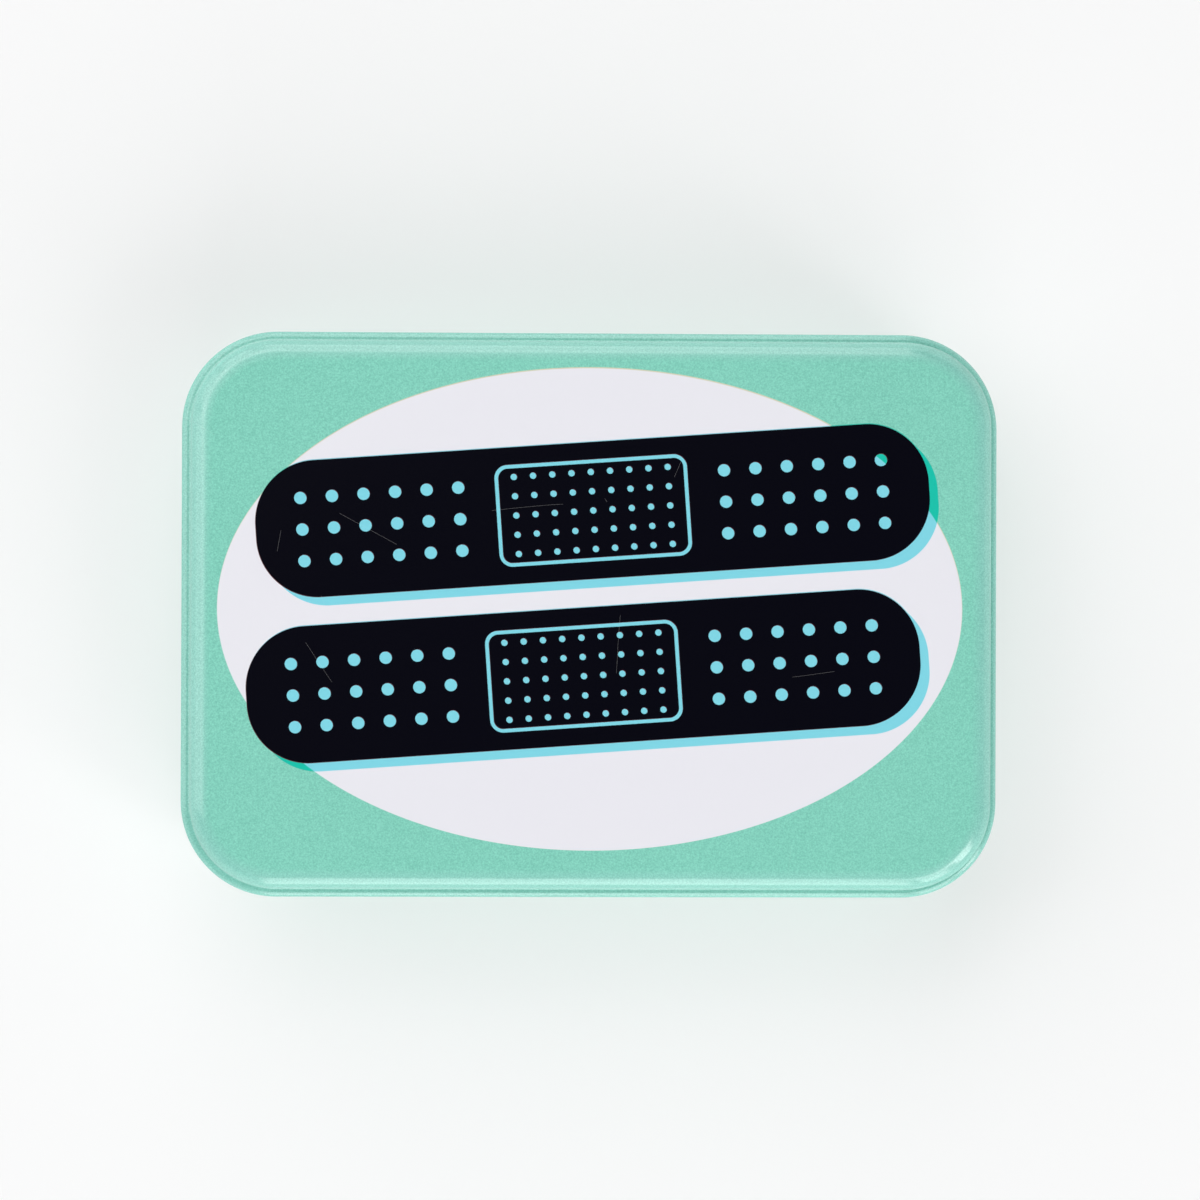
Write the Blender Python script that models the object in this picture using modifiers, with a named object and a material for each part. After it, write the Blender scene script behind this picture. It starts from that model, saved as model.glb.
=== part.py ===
"""A hinged tin for sticking plasters: drawn lid, drawn base, two hinge pins and the wrapped plasters.

X runs along the tin, +Y to the hinge at the rear, +Z up. The origin is on the table, under the middle.
The lid is shut. It turns on two wire pins that lie inside the rear wall of the base.
"""

import math

import bmesh
import bpy
from mathutils import Vector

# The tin over everything. Length and width are taken over the bead round the lid.
TIN_LENGTH = 0.094
TIN_WIDTH = 0.065
TIN_HEIGHT = 0.021
CORNER_RADIUS = 0.011
SHEET = 0.0003

# The lid: a flat panel, a rounded shoulder, a straight skirt and a bead rolled outwards.
LID_DEPTH = 0.008
SHOULDER_RADIUS = 0.002
BEAD_DIAMETER = 0.0013
BEAD_TIP_GAP = 0.00015

# The base: a raised floor, a ring that it stands on, straight walls and a rim rolled inwards.
LID_CLEARANCE = 0.0007
SEAT_GAP = 0.0003
SHOULDER_GAP = 0.00015
RIM_DIAMETER = 0.0012
RIM_LEG = 0.0005
FOOT_RADIUS = 0.002
FOOT_RING_WIDTH = 0.0016
FLOOR_RAISE = 0.0006
FLOOR_STEP_WIDTH = 0.0009

# The hinge. The bead meets the rear wall a little past the open angle, and that stops the lid.
OPEN_ANGLE = math.radians(110)
STOP_GAP = 0.0001
HINGE_MARGIN = 0.0016
PIN_DIAMETER = 0.0009
PIN_OVERHANG = 0.0008
PIN_CHAMFER = 0.0001
RUNNING_GAP = 0.00015
TAB_WIDTH = 0.010
TAB_BEND_RADIUS = 0.001
TAB_WRAP_ANGLE = math.radians(222)
STRAP_WIDTH = 0.0018
SLIT_WIDTH = 0.0003
SLOT_CLEARANCE = 0.0002
FORMING_LOSS = 0.00003
ROOT_LENGTH = 0.0005

# The wrapped plasters, in two stacks side by side.
LAYERS = 8
PACKET_THICKNESS = 0.001
PACKET_SEAM = 0.0003
PACKET_SEAM_WIDTH = 0.0032
PACKET_SLOPE_WIDTH = 0.0016
PACKET_SLIP = 0.00035
PACKET_CLEARANCE = 0.0009
CORNER_ROOM = 0.0013

# Smoothness of the round stretches, and the distance at which points count as one.
WELD_DISTANCE = 0.000001
CORNER_STEPS = 10
SHOULDER_STEPS = 6
BEAD_STEPS = 13
RIM_STEPS = 6
FOOT_STEPS = 5
FLOOR_STEPS = 4
WRAP_STEPS = 12
BEND_STEPS = 5
PIN_SIDES = 16
SHARP_ANGLE = math.radians(40)

# Half sheets and middle lines, which the profiles follow.
HALF_SHEET = SHEET / 2
SKIRT_INSET = BEAD_DIAMETER - HALF_SHEET
BASE_INSET = BEAD_DIAMETER + LID_CLEARANCE + HALF_SHEET
BEAD_RADIUS = BEAD_DIAMETER / 2
BEAD_BOTTOM = TIN_HEIGHT - LID_DEPTH
BEAD_ROLL_ANGLE = math.radians(270) + math.asin((BEAD_RADIUS - SHEET - BEAD_TIP_GAP) / BEAD_RADIUS)
FORMED_SHEET = SHEET - FORMING_LOSS
BASE_WALL_WIDTH = TIN_WIDTH / 2 - BASE_INSET

# The hinge axis, just inside the rear wall. Distances from it are (rearwards, up).
COIL_RADIUS = PIN_DIAMETER / 2 + RUNNING_GAP + HALF_SHEET
AXIS_Y = BASE_WALL_WIDTH - COIL_RADIUS
WALL_FACE = COIL_RADIUS + HALF_SHEET
SKIRT_LINE = TIN_WIDTH / 2 - SKIRT_INSET - AXIS_Y
BEAD_LINE = TIN_WIDTH / 2 - BEAD_RADIUS - AXIS_Y
BEAD_STOP = WALL_FACE + BEAD_RADIUS + STOP_GAP
BEAD_RISE = (BEAD_STOP - BEAD_LINE * math.cos(OPEN_ANGLE)) / math.sin(OPEN_ANGLE)
AXIS_Z = BEAD_BOTTOM + BEAD_RADIUS - BEAD_RISE
STRAP_REACH = 2 * COIL_RADIUS
TAB_SLOT_HALF = TAB_WIDTH / 2 + SLIT_WIDTH
WINDOW_HALF = TAB_SLOT_HALF + STRAP_WIDTH + SLIT_WIDTH
HINGE_X = TIN_LENGTH / 2 - CORNER_RADIUS - HINGE_MARGIN - WINDOW_HALF


def new_collection(name):
    collection = bpy.data.collections.new(name)
    bpy.context.scene.collection.children.link(collection)
    return collection


def enamel(name, colour, roughness, metallic):
    material = bpy.data.materials.new(name)
    material.use_nodes = True
    shader = material.node_tree.nodes["Principled BSDF"]
    shader.inputs["Base Color"].default_value = (*colour, 1)
    shader.inputs["Roughness"].default_value = roughness
    shader.inputs["Metallic"].default_value = metallic
    return material


def mesh_object(name, bm, collection, material=None):
    """Make an object of the bmesh, with its faces turned outwards and its round stretches smooth."""
    bmesh.ops.recalc_face_normals(bm, faces=bm.faces)
    mesh = bpy.data.meshes.new(name)
    bm.to_mesh(mesh)
    bm.free()
    mesh.shade_smooth()
    mesh.set_sharp_from_angle(angle=SHARP_ANGLE)
    obj = bpy.data.objects.new(name, mesh)
    collection.objects.link(obj)
    if material:
        mesh.materials.append(material)
    return obj


def thicken(obj, thickness):
    solidify = obj.modifiers.new("sheet", "SOLIDIFY")
    solidify.thickness = thickness
    solidify.offset = 0
    solidify.use_even_offset = True
    solidify.use_quality_normals = True


def combine(obj, other, operation):
    """Join another solid to this one, or cut it away, and keep the other out of the picture."""
    boolean = obj.modifiers.new(other.name, "BOOLEAN")
    boolean.operation = operation
    boolean.object = other
    boolean.solver = "EXACT"
    other.hide_render = True
    other.display_type = "WIRE"


def arc(centre, radius, start, end, steps):
    """Points on an arc, both ends included. Angles are in radians."""
    angles = [start + (end - start) * step / steps for step in range(steps + 1)]
    return [(centre[0] + radius * math.cos(a), centre[1] + radius * math.sin(a)) for a in angles]


def swing(point, angle):
    """A (rearwards, up) distance from the hinge axis, after the lid has opened by the angle."""
    back = point[0] * math.cos(angle) + point[1] * math.sin(angle)
    up = point[1] * math.cos(angle) - point[0] * math.sin(angle)
    return (back, up)


def pull(bm, chain, offset):
    """Draw a chain of edges out into a strip, and return the edges at its far side."""
    grown = bmesh.ops.extrude_edge_only(bm, edges=chain)["geom"]
    moved = [item for item in grown if isinstance(item, bmesh.types.BMVert)]
    bmesh.ops.translate(bm, verts=moved, vec=offset)
    return [item for item in grown if isinstance(item, bmesh.types.BMEdge)]


def close_panel(bm, height):
    """Fill the flat quarter panel between the drawn edge at this height and the middle of the tin."""
    open_edges = [edge for edge in bm.edges if edge.is_boundary]
    level = [edge for edge in open_edges if all(abs(v.co.z - height) < WELD_DISTANCE for v in edge.verts)]
    rim = {vert for edge in level for vert in edge.verts}
    around = sorted(rim, key=lambda vert: math.atan2(vert.co.y, vert.co.x))
    bm.faces.new([*around, bm.verts.new((0, 0, height))])


def drawn_shell(name, profile, collection, material):
    """A box drawn from one sheet. The profile runs from the edge of the flat panel to the free edge.

    Its points are (inset from the outside of the bead, height), on the middle of the sheet. A quarter
    of the box is drawn: half an end wall, the corner, half a side wall and the panel between them.
    """
    straight_length = TIN_LENGTH / 2 - CORNER_RADIUS
    straight_width = TIN_WIDTH / 2 - CORNER_RADIUS
    bm = bmesh.new()
    points = [bm.verts.new((TIN_LENGTH / 2 - inset, 0, height)) for inset, height in profile]
    chain = [bm.edges.new(pair) for pair in zip(points, points[1:])]
    end_wall = pull(bm, chain, (0, straight_width, 0))
    corner = bmesh.ops.spin(
        bm,
        geom=end_wall,
        cent=(straight_length, straight_width, 0),
        axis=(0, 0, 1),
        angle=math.radians(90),
        steps=CORNER_STEPS,
    )["geom_last"]
    pull(bm, [item for item in corner if isinstance(item, bmesh.types.BMEdge)], (-straight_length, 0, 0))
    bmesh.ops.remove_doubles(bm, verts=bm.verts, dist=WELD_DISTANCE)
    close_panel(bm, profile[0][1])

    shell = mesh_object(name, bm, collection, material)
    mirror = shell.modifiers.new("quarters", "MIRROR")
    mirror.use_axis = (True, True, False)
    mirror.merge_threshold = WELD_DISTANCE
    thicken(shell, SHEET)
    return shell


def lid_profile():
    """Panel edge, shoulder, skirt, and the bead rolled outwards and up until it nearly meets the skirt."""
    bend = SHOULDER_RADIUS - HALF_SHEET
    top = TIN_HEIGHT - HALF_SHEET
    shoulder_centre = (SKIRT_INSET + bend, top - bend)
    shoulder = arc(shoulder_centre, bend, math.radians(90), math.radians(180), SHOULDER_STEPS)
    roll = BEAD_RADIUS - HALF_SHEET
    bead = arc((BEAD_RADIUS, BEAD_BOTTOM + BEAD_RADIUS), roll, 0, -BEAD_ROLL_ANGLE, BEAD_STEPS)
    return shoulder + bead


def rim_top():
    """The base's rim stops under the lid's panel, and low enough to clear the inside of its shoulder."""
    inner = SHOULDER_RADIUS - SHEET
    rise = inner - RIM_DIAMETER / 2
    side = rise - LID_CLEARANCE
    under_shoulder = rise - math.sqrt(max((rise - SHOULDER_GAP) ** 2 - side**2, 0))
    return TIN_HEIGHT - SHEET - max(SEAT_GAP, under_shoulder)


def base_profile():
    """Raised floor, pressed step, foot ring, foot bend, wall, and the rim rolled inwards to a safe edge."""
    bend = FOOT_RADIUS - HALF_SHEET
    ring_inset = BASE_INSET + bend + FOOT_RING_WIDTH
    floor = []
    for step in range(FLOOR_STEPS, -1, -1):
        across = step / FLOOR_STEPS
        rise = (1 - math.cos(math.pi * across)) / 2
        floor.append((ring_inset + across * FLOOR_STEP_WIDTH, HALF_SHEET + rise * FLOOR_RAISE))
    foot_centre = (BASE_INSET + bend, HALF_SHEET + bend)
    foot = arc(foot_centre, bend, math.radians(270), math.radians(180), FOOT_STEPS)
    roll = RIM_DIAMETER / 2 - HALF_SHEET
    rim_centre = (BASE_INSET + roll, rim_top() - HALF_SHEET - roll)
    rim = arc(rim_centre, roll, math.radians(180), 0, RIM_STEPS)
    leg = [(rim[-1][0], rim[-1][1] - RIM_LEG)]
    return floor + foot + rim + leg


def bent_strip(name, path, width, middle_x, collection):
    """A strip of sheet along X, bent to a path of (rearwards, up) points from the hinge axis."""
    bm = bmesh.new()
    start_x = middle_x - width / 2
    points = [bm.verts.new((start_x, AXIS_Y + back, AXIS_Z + up)) for back, up in path]
    chain = [bm.edges.new(pair) for pair in zip(points, points[1:])]
    pull(bm, chain, (width, 0, 0))
    strip = mesh_object(name, bm, collection)
    thicken(strip, FORMED_SHEET)
    return strip


def tab_path():
    """Down from the skirt, in under the pin, then round it and over the top."""
    bend_height = TAB_BEND_RADIUS - COIL_RADIUS
    bend_centre = (SKIRT_LINE - TAB_BEND_RADIUS, bend_height)
    top = [(SKIRT_LINE, BEAD_RISE + ROOT_LENGTH)]
    bend = arc(bend_centre, TAB_BEND_RADIUS, 0, math.radians(-90), BEND_STEPS)
    coil = arc((0, 0), COIL_RADIUS, math.radians(-90), math.radians(-90) - TAB_WRAP_ANGLE, WRAP_STEPS)
    return top + bend + coil


def strap_path():
    """Out of the wall, round the inside of the pin and back into the wall."""
    upper = arc((0, STRAP_REACH), COIL_RADIUS, 0, math.radians(-90), BEND_STEPS)
    ring = arc((0, 0), COIL_RADIUS, math.radians(90), math.radians(270), WRAP_STEPS)
    lower = arc((0, -STRAP_REACH), COIL_RADIUS, math.radians(90), 0, BEND_STEPS)
    top = [(COIL_RADIUS, STRAP_REACH + ROOT_LENGTH)]
    bottom = [(COIL_RADIUS, -STRAP_REACH - ROOT_LENGTH)]
    return top + upper + ring[1:-1] + lower + bottom


def slot_depth():
    """How far below the axis the tab comes through the wall when the lid is fully open."""
    bend = swing((SKIRT_LINE, TAB_BEND_RADIUS - COIL_RADIUS), OPEN_ANGLE)
    root = swing((SKIRT_LINE, BEAD_RISE), OPEN_ANGLE)
    slope = (root[1] - bend[1]) / (root[0] - bend[0])
    crossing = bend[1] + slope * (WALL_FACE - bend[0])
    return SLOT_CLEARANCE + HALF_SHEET * math.hypot(1, slope) - crossing


def cut_box(name, low, high, collection):
    bm = bmesh.new()
    bmesh.ops.create_cube(bm, size=1)
    size = Vector(high) - Vector(low)
    bmesh.ops.scale(bm, verts=bm.verts, vec=size)
    bmesh.ops.translate(bm, verts=bm.verts, vec=(Vector(low) + Vector(high)) / 2)
    return mesh_object(name, bm, collection)


def cut_hinge_slots(base, middle_x, side, collection):
    """One window for tab and straps, and a deeper slot in its middle where the tab swings."""
    near = BASE_WALL_WIDTH - SHEET
    far = BASE_WALL_WIDTH + SHEET
    window = cut_box(
        f"hinge_window_{side}",
        (middle_x - WINDOW_HALF, near, AXIS_Z - STRAP_REACH),
        (middle_x + WINDOW_HALF, far, AXIS_Z + STRAP_REACH),
        collection,
    )
    slot = cut_box(
        f"tab_slot_{side}",
        (middle_x - TAB_SLOT_HALF, near, AXIS_Z - slot_depth()),
        (middle_x + TAB_SLOT_HALF, far, AXIS_Z),
        collection,
    )
    combine(base, window, "DIFFERENCE")
    combine(base, slot, "DIFFERENCE")


def add_straps(base, middle_x, side, collection):
    offset = TAB_SLOT_HALF + STRAP_WIDTH / 2
    for end, strap_x in (("inner", middle_x - offset), ("outer", middle_x + offset)):
        strap = bent_strip(f"strap_{side}_{end}", strap_path(), STRAP_WIDTH, strap_x, collection)
        combine(base, strap, "UNION")


def hinge_pin(side, middle_x, collection, material):
    length = 2 * (TAB_SLOT_HALF + STRAP_WIDTH + PIN_OVERHANG)
    bpy.ops.mesh.primitive_cylinder_add(
        vertices=PIN_SIDES,
        radius=PIN_DIAMETER / 2,
        depth=length,
        location=(middle_x, AXIS_Y, AXIS_Z),
        rotation=(0, math.radians(90), 0),
    )
    pin = bpy.context.object
    pin.name = f"hinge_pin_{side}"
    pin.data.materials.append(material)
    pin.data.shade_smooth()
    pin.data.set_sharp_from_angle(angle=SHARP_ANGLE)
    chamfer = pin.modifiers.new("chamfer", "BEVEL")
    chamfer.width = PIN_CHAMFER
    chamfer.segments = 1
    for owner in list(pin.users_collection):
        owner.objects.unlink(pin)
    collection.objects.link(pin)


def packet_mesh(length, width, material):
    """A flat packet: a thin sealed seam all round, and a raised middle over the plaster."""
    bm = bmesh.new()
    bmesh.ops.create_cube(bm, size=1)
    bmesh.ops.scale(bm, verts=bm.verts, vec=(length, width, PACKET_SEAM))
    flats = [face for face in bm.faces if abs(face.normal.z) > math.cos(SHARP_ANGLE)]
    bmesh.ops.inset_individual(bm, faces=flats, thickness=PACKET_SEAM_WIDTH)
    rise = (PACKET_THICKNESS - PACKET_SEAM) / 2
    bmesh.ops.inset_individual(bm, faces=flats, thickness=PACKET_SLOPE_WIDTH, depth=rise)
    mesh = bpy.data.meshes.new("plaster_packet")
    bm.to_mesh(mesh)
    bm.free()
    mesh.materials.append(material)
    return mesh


def add_plasters(collection, material):
    """Two stacks on the raised floor, clear of the hinge, of the walls and of the round corners."""
    wall_room = 2 * COIL_RADIUS + PACKET_CLEARANCE
    stack_spacing = PACKET_CLEARANCE + 2 * PACKET_SLIP
    inside_inset = BASE_INSET + HALF_SHEET
    corner = CORNER_RADIUS - inside_inset
    across = max(corner - wall_room, 0)
    end_room = corner - math.sqrt(max((corner - CORNER_ROOM) ** 2 - across**2, 0))
    length = TIN_LENGTH - 2 * (inside_inset + end_room)
    width = (TIN_WIDTH - stack_spacing) / 2 - inside_inset - wall_room
    mesh = packet_mesh(length, width, material)
    first = FLOOR_RAISE + SHEET + SEAT_GAP + PACKET_THICKNESS / 2
    pitch = PACKET_THICKNESS + SEAT_GAP
    for row, side in (("front", -1), ("rear", 1)):
        for layer in range(LAYERS):
            turn = 2 * layer + side
            slip_x = PACKET_SLIP * math.sin(turn)
            slip_y = PACKET_SLIP * math.cos(2 * turn)
            middle_y = side * (width + stack_spacing) / 2
            packet = bpy.data.objects.new(f"plaster_{row}_{layer + 1}", mesh)
            packet.location = (slip_x, middle_y + slip_y, first + layer * pitch)
            collection.objects.link(packet)


def build():
    for obj in list(bpy.data.objects):
        bpy.data.objects.remove(obj)
    tin = new_collection("plaster_tin")
    cutters = new_collection("cutters")

    mint = enamel("mint_enamel", (0.235, 0.658, 0.539), 0.28, 0.0)
    print_mint = enamel("printed_mint", (0.235, 0.658, 0.539), 0.25, 0.0)
    steel = enamel("pin_steel", (0.62, 0.62, 0.63), 0.35, 1.0)
    paper = enamel("wrapper_paper", (0.86, 0.87, 0.86), 0.6, 0.0)

    lid = drawn_shell("lid", lid_profile(), tin, print_mint)
    base = drawn_shell("base", base_profile(), tin, mint)
    for side, middle_x in (("left", -HINGE_X), ("right", HINGE_X)):
        cut_hinge_slots(base, middle_x, side, cutters)
        add_straps(base, middle_x, side, cutters)
        tab = bent_strip(f"tab_{side}", tab_path(), TAB_WIDTH, middle_x, cutters)
        combine(lid, tab, "UNION")
        hinge_pin(side, middle_x, tin, steel)
    add_plasters(tin, paper)

    lid_hinge = bpy.data.objects.new("lid_hinge", None)
    lid_hinge.location = (0, AXIS_Y, AXIS_Z)
    tin.objects.link(lid_hinge)
    lid.parent = lid_hinge
    lid.location = -lid_hinge.location


build()
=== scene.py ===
import math

import bmesh
import bpy
from mathutils import Matrix, Vector, noise


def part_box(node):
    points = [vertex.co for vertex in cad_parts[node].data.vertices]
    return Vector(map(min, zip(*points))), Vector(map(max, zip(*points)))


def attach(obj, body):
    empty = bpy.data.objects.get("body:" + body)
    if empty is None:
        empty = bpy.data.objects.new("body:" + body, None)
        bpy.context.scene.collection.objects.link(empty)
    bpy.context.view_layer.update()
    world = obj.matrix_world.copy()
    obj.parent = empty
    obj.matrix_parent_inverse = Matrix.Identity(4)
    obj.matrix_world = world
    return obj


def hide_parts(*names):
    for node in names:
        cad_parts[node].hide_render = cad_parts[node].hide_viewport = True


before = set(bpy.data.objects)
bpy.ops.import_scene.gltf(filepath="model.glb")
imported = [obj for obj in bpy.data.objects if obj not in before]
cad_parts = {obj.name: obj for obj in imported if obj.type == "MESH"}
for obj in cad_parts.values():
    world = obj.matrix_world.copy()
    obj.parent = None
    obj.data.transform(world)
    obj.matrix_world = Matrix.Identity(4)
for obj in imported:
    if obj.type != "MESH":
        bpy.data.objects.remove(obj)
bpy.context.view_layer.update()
print("frame loaded:", len(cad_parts), "nodes")

# The tin over everything, as in the frame. Metres here and everywhere below.
tin = {
    "length": 0.094,
    "width": 0.065,
    "height": 0.021,
    "corner": 0.011,
    "sheet": 0.0003,
    "skirtInset": 0.00135,  # middle of the lid's skirt, in from the outside of the bead
    "wallInset": 0.00215,  # middle of the base's wall
    "hingeX": 0.027,
    "axisY": 0.0296,
    "axisZ": 0.0110752,
    "weld": 0.0000015,
    "support": 0.0004,  # a narrow row of faces beside each round corner keeps the flat walls flat
}


# Small helpers for meshes.
def finishPiece(name, bm, materials, body, nodes=(), smoothAngle=35):
    mesh = bpy.data.meshes.new(name)
    bm.to_mesh(mesh)
    bm.free()
    for material in materials:
        mesh.materials.append(material)
    mesh.shade_smooth()
    mesh.set_sharp_from_angle(angle=math.radians(smoothAngle))
    piece = bpy.data.objects.new(name, mesh)
    bpy.context.scene.collection.objects.link(piece)
    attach(piece, body)
    if nodes:
        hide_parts(*nodes)
    return piece


def bakeModifiers(piece):
    # the modifiers' result becomes the piece's own mesh
    graph = bpy.context.evaluated_depsgraph_get()
    mesh = bpy.data.meshes.new_from_object(piece.evaluated_get(graph))
    old = piece.data
    piece.modifiers.clear()
    piece.data = mesh
    bpy.data.meshes.remove(old)
    mesh.name = piece.name


def thicken(piece, sheet):
    # the print is on the outer side of the sheet, and its back is the next material
    wall = piece.modifiers.new("sheet", "SOLIDIFY")
    wall.thickness = sheet
    wall.offset = 0
    wall.material_offset = 1
    wall.material_offset_rim = 1
    wall.use_even_offset = True
    wall.use_quality_normals = True
    shading = piece.modifiers.new("shading", "WEIGHTED_NORMAL")
    shading.keep_sharp = True
    bakeModifiers(piece)


def arc(centre, radius, start, end, steps):
    # points on an arc, angles in degrees, both ends included
    turns = [math.radians(start + (end - start) * k / steps) for k in range(steps + 1)]
    return [(centre[0] + radius * math.cos(t), centre[1] + radius * math.sin(t)) for t in turns]


def pull(bm, chain, offset):
    # sweeps a chain of edges along, and gives back the new end
    grown = bmesh.ops.extrude_edge_only(bm, edges=chain)["geom"]
    bmesh.ops.translate(bm, verts=[g for g in grown if isinstance(g, bmesh.types.BMVert)], vec=offset)
    return [g for g in grown if isinstance(g, bmesh.types.BMEdge)]


def turn(bm, chain, centre, axis, degrees, steps):
    # sweeps a chain of edges round an axis, and gives back the new end
    grown = bmesh.ops.spin(
        bm, geom=chain, cent=centre, axis=axis, angle=math.radians(degrees), steps=steps
    )["geom_last"]
    return [g for g in grown if isinstance(g, bmesh.types.BMEdge)]


def settle(bm):
    # a sweep leaves its faces in no fixed order, so everything is put in order of place
    def corners(item):
        return sorted(tuple(vert.co) for vert in getattr(item, "verts", [item]))

    for items in (bm.verts, bm.edges, bm.faces):
        rank = {item: k for k, item in enumerate(sorted(items, key=corners))}
        items.sort(key=rank.get)


def faceOut(bm, way):
    # the face furthest that way looks that way, and the others follow it
    bmesh.ops.recalc_face_normals(bm, faces=bm.faces)
    far = max(bm.faces, key=lambda face: face.calc_center_median().dot(Vector(way)))
    if far.normal.dot(Vector(way)) < 0:
        bmesh.ops.reverse_faces(bm, faces=bm.faces)


def drawnShell(profile, cornerSteps):
    # a quarter of the box is drawn from its profile, then mirrored twice and closed with its flat panel
    endX = tin["length"] / 2 - tin["corner"]
    endY = tin["width"] / 2 - tin["corner"]
    bm = bmesh.new()
    points = [bm.verts.new((tin["length"] / 2 - x, 0, z)) for x, z in profile]
    chain = [bm.edges.new(pair) for pair in zip(points, points[1:])]
    chain = pull(bm, chain, (0, endY - tin["support"], 0))
    chain = pull(bm, chain, (0, tin["support"], 0))
    chain = turn(bm, chain, (endX, endY, 0), (0, 0, 1), 90, cornerSteps)
    chain = pull(bm, chain, (-tin["support"], 0, 0))
    pull(bm, chain, (tin["support"] - endX, 0, 0))
    for axis in ("X", "Y"):
        bmesh.ops.mirror(
            bm, geom=bm.verts[:] + bm.edges[:] + bm.faces[:], axis=axis, merge_dist=tin["weld"]
        )
    bmesh.ops.remove_doubles(bm, verts=bm.verts, dist=tin["weld"])
    level = profile[0][1]
    rim = [e for e in bm.edges if e.is_boundary and all(abs(v.co.z - level) < tin["weld"] for v in e.verts)]
    bmesh.ops.edgeloop_fill(bm, edges=rim)
    settle(bm)
    return bm


# Small helpers for materials.
def addNode(tree, kind, settings=None, values=None):
    node = tree.nodes.new(kind)
    for name, value in (settings or {}).items():
        setattr(node, name, value)
    for socket, value in (values or {}).items():
        if isinstance(value, bpy.types.NodeSocket):
            tree.links.new(value, node.inputs[socket])
        else:
            node.inputs[socket].default_value = value
    return node


def calc(tree, operation, first, second=0.0, third=None):
    values = {0: first, 1: second}
    if third is not None:
        values[2] = third
    return addNode(tree, "ShaderNodeMath", {"operation": operation}, values).outputs[0]


def calcVector(tree, operation, first, second=None, third=None):
    values = {0: first}
    if second is not None:
        values[1] = second
    if third is not None:
        values[2] = third
    node = addNode(tree, "ShaderNodeVectorMath", {"operation": operation}, values)
    return node.outputs["Value"] if operation in ("LENGTH", "DOT_PRODUCT") else node.outputs["Vector"]


def blendColour(tree, share, first, second):
    node = addNode(tree, "ShaderNodeMix", {"data_type": "RGBA"}, {0: share, 6: first, 7: second})
    return node.outputs[2]


def ramp(tree, value, start, end, low=0.0, high=1.0):
    # runs from low at the start value to high at the end value, and stays there beyond them
    limits = {"Value": value, "From Min": start, "From Max": end, "To Min": low, "To Max": high}
    return addNode(tree, "ShaderNodeMapRange", {"clamp": True}, limits).outputs["Result"]


def below(tree, value, limit, soft):
    # 1 where the value is under the limit, 0 over it, with a soft step between
    return ramp(tree, value, limit - soft, limit + soft, 1.0, 0.0)


def above(tree, value, limit, soft):
    return ramp(tree, value, limit - soft, limit + soft)


def turnedAt(tree, place, angle, centre=(0, 0, 0)):
    # the place turned about the upright through the centre
    values = {"Vector": place, "Center": centre, "Angle": angle}
    return addNode(tree, "ShaderNodeVectorRotate", {"rotation_type": "Z_AXIS"}, values).outputs["Vector"]


def partsOf(tree, place):
    return addNode(tree, "ShaderNodeSeparateXYZ", None, {"Vector": place}).outputs


def layerOf(tree, name):
    settings = {"attribute_name": name, "attribute_type": "GEOMETRY"}
    return addNode(tree, "ShaderNodeAttribute", settings).outputs


def noiseAt(tree, place, scale, detail=2.0, rough=0.5):
    settings = {"Vector": place, "Scale": scale, "Detail": detail, "Roughness": rough}
    return addNode(tree, "ShaderNodeTexNoise", None, settings).outputs


def cellsAt(tree, place, scale):
    # a Voronoi pattern, one random colour and one middle to each cell
    return addNode(tree, "ShaderNodeTexVoronoi", {"feature": "F1"}, {"Vector": place, "Scale": scale}).outputs


def newGroup(name, inputs, outputs):
    group = bpy.data.node_groups.new(name, "ShaderNodeTree")
    for label, kind, start in inputs:
        socket = group.interface.new_socket(name=label, in_out="INPUT", socket_type=kind)
        if start is not None:
            socket.default_value = start
    for label, kind in outputs:
        group.interface.new_socket(name=label, in_out="OUTPUT", socket_type=kind)
    taken = group.nodes.new("NodeGroupInput")
    given = group.nodes.new("NodeGroupOutput")
    return group, taken.outputs, given.inputs


def useGroup(tree, group, values):
    return addNode(tree, "ShaderNodeGroup", {"node_tree": group}, values).outputs


def newMaterial(name, values):
    material = bpy.data.materials.new(name)
    material.use_nodes = True
    tree = material.node_tree
    shader = tree.nodes["Principled BSDF"]
    for socket, value in values.items():
        shader.inputs[socket].default_value = value
    place = addNode(tree, "ShaderNodeTexCoord").outputs["Object"]
    return material, tree, shader, place


def addBump(tree, shader, height, strength, distance):
    settings = {"Height": height, "Strength": strength, "Distance": distance}
    bump = addNode(tree, "ShaderNodeBump", None, settings)
    tree.links.new(bump.outputs["Normal"], shader.inputs["Normal"])


value, vector, colour = "NodeSocketFloat", "NodeSocketVector", "NodeSocketColor"


# the mint ink, between a dark and a light tone
mint = {
    "dark": (0.170, 0.520, 0.412, 1),
    "light": (0.295, 0.743, 0.606, 1),
    "grainSize": 0.00018,
    "grainRough": 0.6,
    "grainSpan": (0.2, 0.8),
    "driftSize": 0.022,
    "drift": 0.16,
    "paintedHighlightTint": (1.06, 0.945, 1.0),  # painted highlight: the mint is tinted paler and less green where the lid is drawn over its edge, so its gloss reads whiter
    "paintedHighlightInset": 0.0030,
    "paintedHighlightSoft": 0.0006,
}


def mintGroup():
    # printed mint: fine screen grain, and a slow drift of tone over the sheet
    group, given, out = newGroup("mintCoat", [("Position", vector, None)], [("Color", colour)])
    grain = noiseAt(group, given["Position"], 1 / mint["grainSize"], 1.0, mint["grainRough"])["Fac"]
    grain = ramp(group, grain, *mint["grainSpan"])
    drift = noiseAt(group, given["Position"], 1 / mint["driftSize"], 1.0)["Fac"]
    level = calc(group, "SUBTRACT", grain, mint["drift"] / 2)
    share = calc(group, "MULTIPLY_ADD", drift, mint["drift"], level)
    group.links.new(blendColour(group, share, mint["dark"], mint["light"]), out["Color"])
    return group


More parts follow.
